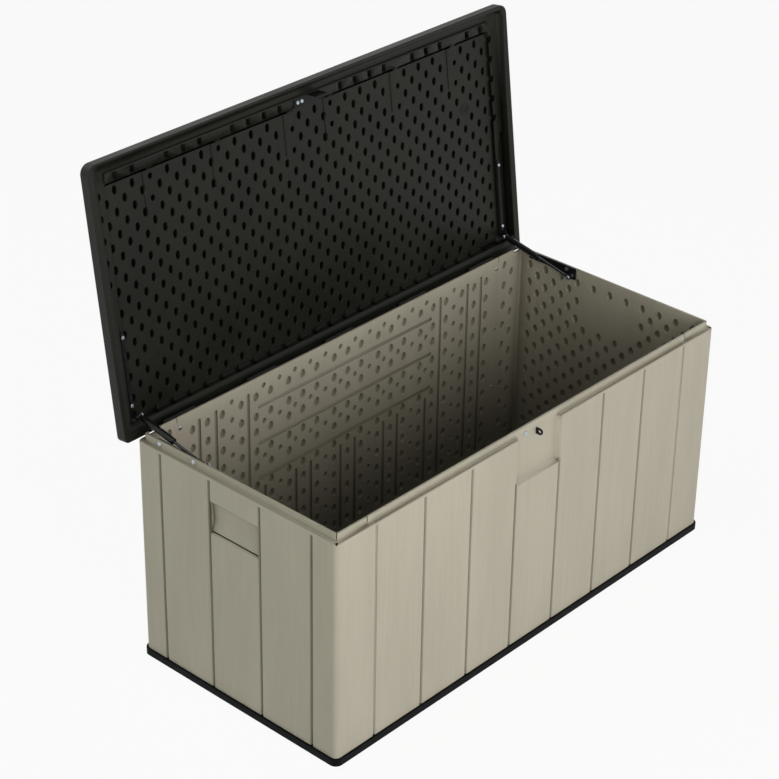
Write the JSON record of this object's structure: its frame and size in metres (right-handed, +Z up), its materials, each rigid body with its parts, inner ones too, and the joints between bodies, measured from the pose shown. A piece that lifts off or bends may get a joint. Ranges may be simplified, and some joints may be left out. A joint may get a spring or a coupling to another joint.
{
  "type": "deck storage box",
  "caption": "Rectangular plastic outdoor storage box with grooved beige walls, black base and a dark hinged lid held open by gas struts",
  "frame": {"origin": "middle of the base's underside", "axes": "+X to the right seen from the front, +Y from front to rear, +Z up"},
  "size_m": [1.567, 0.8634, 1.3952],
  "materials": {
    "wall_plastic": "warm beige moulded polyethylene with a faint upright grain, matt",
    "lid_plastic": "dark grey-brown moulded polyethylene, matt with a soft sheen on the rim",
    "base_plastic": "black moulded polyethylene, matt",
    "black_steel": "black powder coat on bent sheet steel",
    "strut_black": "smooth black paint on drawn tube",
    "rod_steel": "black nitrided steel rod with a soft gloss",
    "zinc_steel": "bright zinc plate with a bluish cast"
  },
  "bodies": {
    "box": {"base_panel": "base_plastic", "front_panel": "wall_plastic", "rear_panel": "wall_plastic", "left_end_panel": "wall_plastic", "right_end_panel": "wall_plastic", "hinge_pins": "black_steel", "seam_screws": "zinc_steel", "lock_loop": "black_steel", "lock_screw": "zinc_steel", "left_wall_bracket": "black_steel", "right_wall_bracket": "black_steel", "wall_bracket_bolts": "zinc_steel", "wall_bracket_nuts": "zinc_steel"},
    "lid": {"lid_panel": "lid_plastic", "lid_hasp": "black_steel", "hasp_screws": "zinc_steel", "left_lid_bracket": "black_steel", "right_lid_bracket": "black_steel", "lid_bracket_bolts": "zinc_steel", "lid_pivot_bolts": "zinc_steel"},
    "left_tube": {"left_strut_tube": "strut_black", "left_lid_eye": "strut_black"},
    "left_rod": {"left_strut_rod": "rod_steel", "left_strut_piston": "strut_black", "left_wall_eye": "strut_black", "left_wall_pivot": "zinc_steel"},
    "right_tube": {"right_strut_tube": "strut_black", "right_lid_eye": "strut_black"},
    "right_rod": {"right_strut_rod": "rod_steel", "right_strut_piston": "strut_black", "right_wall_eye": "strut_black", "right_wall_pivot": "zinc_steel"}
  },
  "joints": [
    {"name": "lid_hinge", "type": "hinge", "parent": "box", "child": "lid", "pos_m": [0, 0.3693, 0.6635], "axis": [1, 0, 0], "range_deg": [0, 97.26]},
    {"name": "left_strut_swing", "type": "hinge", "parent": "lid", "child": "left_tube", "pos_m": [-0.7225, 0.38073, 0.70973], "axis": [1, 0, 0], "range_deg": [-106.11, 0]},
    {"name": "left_strut_slide", "type": "slide", "parent": "left_tube", "child": "left_rod", "axis": [0, -0.9817, -0.1907], "range_m": [-0.0632, 0]},
    {"name": "right_strut_swing", "type": "hinge", "parent": "lid", "child": "right_tube", "pos_m": [0.7225, 0.38073, 0.70973], "axis": [1, 0, 0], "range_deg": [-106.11, 0]},
    {"name": "right_strut_slide", "type": "slide", "parent": "right_tube", "child": "right_rod", "axis": [0, -0.9817, -0.1907], "range_m": [-0.0632, 0]}
  ],
  "couplings": [
    {"joint": "left_strut_swing", "follows": "lid_hinge", "ratio": -1.091},
    {"joint": "left_strut_slide", "follows": "lid_hinge", "m_per_rad": -0.037227},
    {"joint": "right_strut_swing", "follows": "lid_hinge", "ratio": -1.091},
    {"joint": "right_strut_slide", "follows": "lid_hinge", "m_per_rad": -0.037227}
  ]
}
